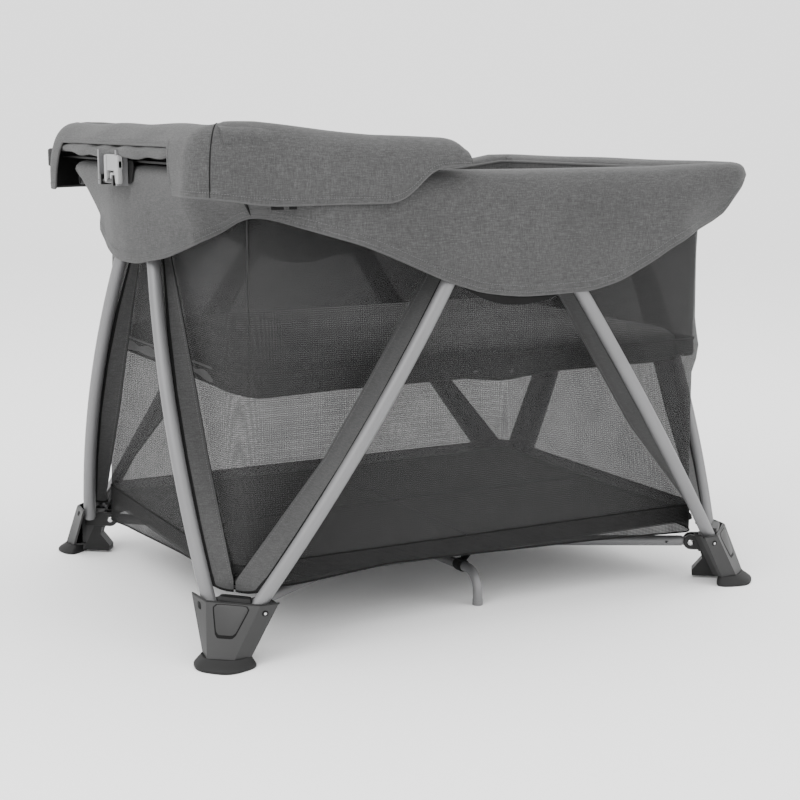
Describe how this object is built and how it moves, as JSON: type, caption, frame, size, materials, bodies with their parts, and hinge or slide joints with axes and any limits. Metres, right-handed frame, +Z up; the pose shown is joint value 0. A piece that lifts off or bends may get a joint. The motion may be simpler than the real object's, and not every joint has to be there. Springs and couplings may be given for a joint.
{
  "type": "travel play yard",
  "caption": "Folding play yard with bowed A-frame legs, mesh walls, fabric top skirt, bassinet insert and a tip-up changing table.",
  "frame": {"origin": "on the floor, under the middle of the four feet", "axes": "+Z up; +X along the long side, away from the changing table; -Y towards the front long side"},
  "size_m": [1.09, 0.869, 0.829],
  "materials": {
    "satin_tube": "satin",
    "grey_plastic": "fine texture",
    "black_plastic": "matte",
    "light_plastic": "satin",
    "foot_rubber": "matte",
    "heather_fabric": "heather weave",
    "mesh_fabric": "open mesh",
    "floor_fabric": "plain weave",
    "mattress_fabric": "quilted",
    "board": "matte"
  },
  "bodies": {
    "floor_hub": {"hub_base": "black_plastic", "hub_cover": "black_plastic"},
    "release_handle": {"release_handle": "light_plastic"},
    "arm_rear_right": {"floor_arm_rear_right": "satin_tube", "floor_fabric_rear_right": "floor_fabric"},
    "foot_rear_right": {"foot_housing_rear_right": "grey_plastic", "foot_pad_rear_right": "foot_rubber"},
    "long_leg_rear_right": {"long_leg_rear_right": "satin_tube"},
    "short_leg_rear_right": {"short_leg_rear_right": "satin_tube"},
    "long_rail_rear_right": {"long_rail_rear_right": "satin_tube"},
    "short_rail_rear_right": {"short_rail_rear_right": "satin_tube"},
    "arm_rear_left": {"floor_arm_rear_left": "satin_tube", "floor_fabric_rear_left": "floor_fabric"},
    "foot_rear_left": {"foot_housing_rear_left": "grey_plastic", "foot_pad_rear_left": "foot_rubber"},
    "long_leg_rear_left": {"long_leg_rear_left": "satin_tube"},
    "short_leg_rear_left": {"short_leg_rear_left": "satin_tube"},
    "long_rail_rear_left": {"long_rail_rear_left": "satin_tube"},
    "short_rail_rear_left": {"short_rail_rear_left": "satin_tube"},
    "arm_front_right": {"floor_arm_front_right": "satin_tube", "floor_fabric_front_right": "floor_fabric"},
    "foot_front_right": {"foot_housing_front_right": "grey_plastic", "foot_pad_front_right": "foot_rubber"},
    "long_leg_front_right": {"long_leg_front_right": "satin_tube"},
    "short_leg_front_right": {"short_leg_front_right": "satin_tube"},
    "long_rail_front_right": {"long_rail_front_right": "satin_tube"},
    "short_rail_front_right": {"short_rail_front_right": "satin_tube"},
    "arm_front_left": {"floor_arm_front_left": "satin_tube", "floor_fabric_front_left": "floor_fabric"},
    "foot_front_left": {"foot_housing_front_left": "grey_plastic", "foot_pad_front_left": "foot_rubber"},
    "long_leg_front_left": {"long_leg_front_left": "satin_tube"},
    "short_leg_front_left": {"short_leg_front_left": "satin_tube"},
    "long_rail_front_left": {"long_rail_front_left": "satin_tube"},
    "short_rail_front_left": {"short_rail_front_left": "satin_tube"},
    "long_hub_rear": {"long_hub_rear": "black_plastic", "wall_mesh_rear": "mesh_fabric", "skirt_rear": "heather_fabric"},
    "long_hub_front": {"long_hub_front": "black_plastic", "wall_mesh_front": "mesh_fabric", "skirt_front": "heather_fabric"},
    "short_hub_rear_right": {"short_hub_rear_right": "black_plastic"},
    "short_hub_rear_left": {"short_hub_rear_left": "black_plastic"},
    "short_hub_front_right": {"short_hub_front_right": "black_plastic", "wall_mesh_right": "mesh_fabric", "skirt_right": "heather_fabric"},
    "short_hub_front_left": {"short_hub_front_left": "black_plastic", "wall_mesh_left": "mesh_fabric", "skirt_left": "heather_fabric"},
    "support_leg_rear": {"support_leg_rear": "satin_tube"},
    "support_leg_front": {"support_leg_front": "satin_tube"},
    "bassinet": {"bassinet_walls": "mesh_fabric", "bassinet_tray": "floor_fabric", "bassinet_mattress": "mattress_fabric"},
    "table_bracket": {"table_bracket": "light_plastic"},
    "changing_table": {"table_frame": "satin_tube", "table_board": "board", "table_pad": "heather_fabric", "table_apron": "heather_fabric"}
  },
  "joints": [
    {"name": "release_pull", "type": "slide", "parent": "floor_hub", "child": "release_handle", "axis": [0, 0, 1], "range_m": [0, 0.014], "stiffness_N_per_m": 400},
    {"name": "arm_fold_rear_right", "type": "hinge", "parent": "floor_hub", "child": "arm_rear_right", "pos_m": [0.055, 0.042, 0.05], "axis": [-0.5924, 0.8056, 0], "range_deg": [0, 88]},
    {"name": "foot_turn_rear_right", "type": "hinge", "parent": "arm_rear_right", "child": "foot_rear_right", "pos_m": [0.448, 0.331, 0.068], "axis": [-0.5924, 0.8056, 0], "range_deg": [-88, 0]},
    {"name": "long_leg_tilt_rear_right", "type": "hinge", "parent": "foot_rear_right", "child": "long_leg_rear_right", "pos_m": [0.444, 0.391, 0.088], "axis": [0, 1, 0], "range_deg": [0, 30.22]},
    {"name": "short_leg_tilt_rear_right", "type": "hinge", "parent": "foot_rear_right", "child": "short_leg_rear_right", "pos_m": [0.496, 0.321, 0.088], "axis": [-1, 0, 0], "range_deg": [0, 23.4]},
    {"name": "arm_fold_rear_left", "type": "hinge", "parent": "floor_hub", "child": "arm_rear_left", "pos_m": [-0.055, 0.042, 0.05], "axis": [-0.5924, -0.8056, 0], "range_deg": [0, 88]},
    {"name": "foot_turn_rear_left", "type": "hinge", "parent": "arm_rear_left", "child": "foot_rear_left", "pos_m": [-0.448, 0.331, 0.068], "axis": [-0.5924, -0.8056, 0], "range_deg": [-88, 0]},
    {"name": "long_leg_tilt_rear_left", "type": "hinge", "parent": "foot_rear_left", "child": "long_leg_rear_left", "pos_m": [-0.444, 0.391, 0.088], "axis": [0, -1, 0], "range_deg": [0, 30.22]},
    {"name": "short_leg_tilt_rear_left", "type": "hinge", "parent": "foot_rear_left", "child": "short_leg_rear_left", "pos_m": [-0.496, 0.321, 0.088], "axis": [-1, 0, 0], "range_deg": [0, 23.4]},
    {"name": "arm_fold_front_right", "type": "hinge", "parent": "floor_hub", "child": "arm_front_right", "pos_m": [0.055, -0.042, 0.05], "axis": [0.5924, 0.8056, 0], "range_deg": [0, 88]},
    {"name": "foot_turn_front_right", "type": "hinge", "parent": "arm_front_right", "child": "foot_front_right", "pos_m": [0.448, -0.331, 0.068], "axis": [0.5924, 0.8056, 0], "range_deg": [-88, 0]},
    {"name": "long_leg_tilt_front_right", "type": "hinge", "parent": "foot_front_right", "child": "long_leg_front_right", "pos_m": [0.444, -0.391, 0.088], "axis": [0, 1, 0], "range_deg": [0, 30.22]},
    {"name": "short_leg_tilt_front_right", "type": "hinge", "parent": "foot_front_right", "child": "short_leg_front_right", "pos_m": [0.496, -0.321, 0.088], "axis": [1, 0, 0], "range_deg": [0, 23.4]},
    {"name": "fold", "type": "hinge", "parent": "floor_hub", "child": "arm_front_left", "pos_m": [-0.055, -0.042, 0.05], "axis": [0.5924, -0.8056, 0], "range_deg": [0, 88], "deforming": ["floor_fabric_rear_right", "floor_fabric_rear_left", "floor_fabric_front_right", "floor_fabric_front_left", "wall_mesh_front", "wall_mesh_rear", "wall_mesh_left", "wall_mesh_right", "skirt_front", "skirt_rear", "skirt_left", "skirt_right"]},
    {"name": "foot_turn_front_left", "type": "hinge", "parent": "arm_front_left", "child": "foot_front_left", "pos_m": [-0.448, -0.331, 0.068], "axis": [0.5924, -0.8056, 0], "range_deg": [-88, 0]},
    {"name": "long_leg_tilt_front_left", "type": "hinge", "parent": "foot_front_left", "child": "long_leg_front_left", "pos_m": [-0.444, -0.391, 0.088], "axis": [0, -1, 0], "range_deg": [0, 30.22]},
    {"name": "short_leg_tilt_front_left", "type": "hinge", "parent": "foot_front_left", "child": "short_leg_front_left", "pos_m": [-0.496, -0.321, 0.088], "axis": [1, 0, 0], "range_deg": [0, 23.4]},
    {"name": "long_hub_level_rear", "type": "hinge", "parent": "long_leg_rear_left", "child": "long_hub_rear", "pos_m": [-0.04, 0.395, 0.705], "axis": [0, -1, 0], "range_deg": [-30.22, 0]},
    {"name": "long_hub_level_front", "type": "hinge", "parent": "long_leg_front_left", "child": "long_hub_front", "pos_m": [-0.04, -0.395, 0.705], "axis": [0, -1, 0], "range_deg": [-30.22, 0]},
    {"name": "short_hub_level_rear_right", "type": "hinge", "parent": "short_leg_rear_right", "child": "short_hub_rear_right", "pos_m": [0.474, 0.031, 0.705], "axis": [-1, 0, 0], "range_deg": [-23.4, 0]},
    {"name": "short_hub_level_rear_left", "type": "hinge", "parent": "short_leg_rear_left", "child": "short_hub_rear_left", "pos_m": [-0.474, 0.031, 0.705], "axis": [-1, 0, 0], "range_deg": [-23.4, 0]},
    {"name": "short_hub_level_front_right", "type": "hinge", "parent": "short_leg_front_right", "child": "short_hub_front_right", "pos_m": [0.474, -0.031, 0.705], "axis": [1, 0, 0], "range_deg": [-23.4, 0]},
    {"name": "short_hub_level_front_left", "type": "hinge", "parent": "short_leg_front_left", "child": "short_hub_front_left", "pos_m": [-0.474, -0.031, 0.705], "axis": [1, 0, 0], "range_deg": [-23.4, 0]},
    {"name": "long_rail_fold_rear_right", "type": "hinge", "parent": "long_hub_rear", "child": "long_rail_rear_right", "pos_m": [0.06, 0.352, 0.726], "axis": [0, 1, 0], "range_deg": [0, 90.01]},
    {"name": "short_rail_fold_rear_right", "type": "hinge", "parent": "short_hub_rear_right", "child": "short_rail_rear_right", "pos_m": [0.5, 0.078, 0.747], "axis": [-1, 0, 0], "range_deg": [0, 90.01]},
    {"name": "long_rail_fold_rear_left", "type": "hinge", "parent": "long_hub_rear", "child": "long_rail_rear_left", "pos_m": [-0.06, 0.352, 0.726], "axis": [0, -1, 0], "range_deg": [0, 90.01]},
    {"name": "short_rail_fold_rear_left", "type": "hinge", "parent": "short_hub_rear_left", "child": "short_rail_rear_left", "pos_m": [-0.5, 0.078, 0.747], "axis": [-1, 0, 0], "range_deg": [0, 90.01]},
    {"name": "support_fold_rear", "type": "hinge", "parent": "floor_hub", "child": "support_leg_rear", "pos_m": [0.01, 0.072, 0.048], "axis": [-1, 0, 0], "range_deg": [0, 88]},
    {"name": "long_rail_fold_front_right", "type": "hinge", "parent": "long_hub_front", "child": "long_rail_front_right", "pos_m": [0.06, -0.352, 0.726], "axis": [0, 1, 0], "range_deg": [0, 90.01]},
    {"name": "short_rail_fold_front_right", "type": "hinge", "parent": "short_hub_front_right", "child": "short_rail_front_right", "pos_m": [0.5, -0.078, 0.747], "axis": [1, 0, 0], "range_deg": [0, 90.01]},
    {"name": "long_rail_fold_front_left", "type": "hinge", "parent": "long_hub_front", "child": "long_rail_front_left", "pos_m": [-0.06, -0.352, 0.726], "axis": [0, -1, 0], "range_deg": [0, 90.01]},
    {"name": "short_rail_fold_front_left", "type": "hinge", "parent": "short_hub_front_left", "child": "short_rail_front_left", "pos_m": [-0.5, -0.078, 0.747], "axis": [1, 0, 0], "range_deg": [0, 90.01]},
    {"name": "support_fold_front", "type": "hinge", "parent": "floor_hub", "child": "support_leg_front", "pos_m": [0.01, -0.072, 0.048], "axis": [1, 0, 0], "range_deg": [0, 88]},
    {"name": "bassinet_lift", "type": "slide", "parent": "floor_hub", "child": "bassinet", "axis": [0, 0, 1], "range_m": [0, 1.101]},
    {"name": "table_lift", "type": "slide", "parent": "floor_hub", "child": "table_bracket", "axis": [0, 0, 1], "range_m": [0, 1.101]},
    {"name": "table_flip", "type": "hinge", "parent": "table_bracket", "child": "changing_table", "pos_m": [-0.535, 0, 0.735], "axis": [0, -1, 0], "range_deg": [0, 110]}
  ],
  "couplings": [
    {"joint": "arm_fold_rear_right", "follows": "fold", "ratio": 1},
    {"joint": "foot_turn_rear_right", "follows": "fold", "ratio": -1},
    {"joint": "long_leg_tilt_rear_right", "follows": "fold", "ratio": 0.34282},
    {"joint": "short_leg_tilt_rear_right", "follows": "fold", "ratio": 0.2653},
    {"joint": "arm_fold_rear_left", "follows": "fold", "ratio": 1},
    {"joint": "foot_turn_rear_left", "follows": "fold", "ratio": -1},
    {"joint": "long_leg_tilt_rear_left", "follows": "fold", "ratio": 0.34282},
    {"joint": "short_leg_tilt_rear_left", "follows": "fold", "ratio": 0.2653},
    {"joint": "arm_fold_front_right", "follows": "fold", "ratio": 1},
    {"joint": "foot_turn_front_right", "follows": "fold", "ratio": -1},
    {"joint": "long_leg_tilt_front_right", "follows": "fold", "ratio": 0.34282},
    {"joint": "short_leg_tilt_front_right", "follows": "fold", "ratio": 0.2653},
    {"joint": "foot_turn_front_left", "follows": "fold", "ratio": -1},
    {"joint": "long_leg_tilt_front_left", "follows": "fold", "ratio": 0.34282},
    {"joint": "short_leg_tilt_front_left", "follows": "fold", "ratio": 0.2653},
    {"joint": "long_hub_level_rear", "follows": "fold", "ratio": -0.34282},
    {"joint": "long_hub_level_front", "follows": "fold", "ratio": -0.34282},
    {"joint": "short_hub_level_rear_right", "follows": "fold", "ratio": -0.2653},
    {"joint": "short_hub_level_rear_left", "follows": "fold", "ratio": -0.2653},
    {"joint": "short_hub_level_front_right", "follows": "fold", "ratio": -0.2653},
    {"joint": "short_hub_level_front_left", "follows": "fold", "ratio": -0.2653},
    {"joint": "long_rail_fold_rear_right", "follows": "fold", "ratio": 1.0227},
    {"joint": "short_rail_fold_rear_right", "follows": "fold", "ratio": 1.0227},
    {"joint": "long_rail_fold_rear_left", "follows": "fold", "ratio": 1.0227},
    {"joint": "short_rail_fold_rear_left", "follows": "fold", "ratio": 1.0227},
    {"joint": "support_fold_rear", "follows": "fold", "ratio": 1},
    {"joint": "long_rail_fold_front_right", "follows": "fold", "ratio": 1.0227},
    {"joint": "short_rail_fold_front_right", "follows": "fold", "ratio": 1.0227},
    {"joint": "long_rail_fold_front_left", "follows": "fold", "ratio": 1.0227},
    {"joint": "short_rail_fold_front_left", "follows": "fold", "ratio": 1.0227},
    {"joint": "support_fold_front", "follows": "fold", "ratio": 1},
    {"joint": "bassinet_lift", "follows": "fold", "m_per_rad": 0.7162},
    {"joint": "table_lift", "follows": "fold", "m_per_rad": 0.7162}
  ]
}
